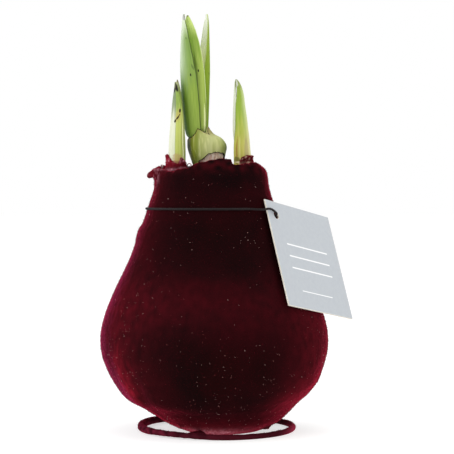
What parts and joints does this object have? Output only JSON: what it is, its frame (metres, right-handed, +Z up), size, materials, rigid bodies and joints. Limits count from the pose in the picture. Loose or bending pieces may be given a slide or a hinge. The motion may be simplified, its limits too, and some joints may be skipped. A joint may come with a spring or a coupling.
{
  "type": "waxed amaryllis bulb",
  "caption": "Amaryllis bulb dipped in wax and flocked with dark red velvet, on a wire ring stand, with green shoots and a card tag on an elastic cord round its neck.",
  "frame": {"origin": "centre of the bulb's flat base, under its axis, on the surface it stands on", "axes": "+Z up along the bulb's axis, -Y to the front, which the card half faces, +X to the side the card hangs on"},
  "size_m": [0.1013, 0.091, 0.1665],
  "materials": {
    "velvet": "short velvet flock over wax",
    "flocked_wire": "velvet flock over waxed wire",
    "sheath": "waxy plant skin, striped",
    "stub": "bare pale plant tissue",
    "leaf": "waxy leaf, satin",
    "young_leaf": "waxy young leaf, satin",
    "elastic": "thread-covered elastic",
    "card": "smooth grey card with a pale cut edge"
  },
  "bodies": {
    "root": {"bulb": "velvet", "wire_stand": "flocked_wire", "bud_sheath": "sheath", "sheath_stub": "stub", "leaf_left": "leaf", "leaf_middle": "leaf", "leaf_right": "leaf", "left_shoot_heart": "young_leaf", "left_shoot_wrap": "young_leaf", "right_shoot": "young_leaf", "right_shoot_inner": "young_leaf", "elastic_cord": "elastic", "hang_tag": "card"}
  },
  "joints": []
}
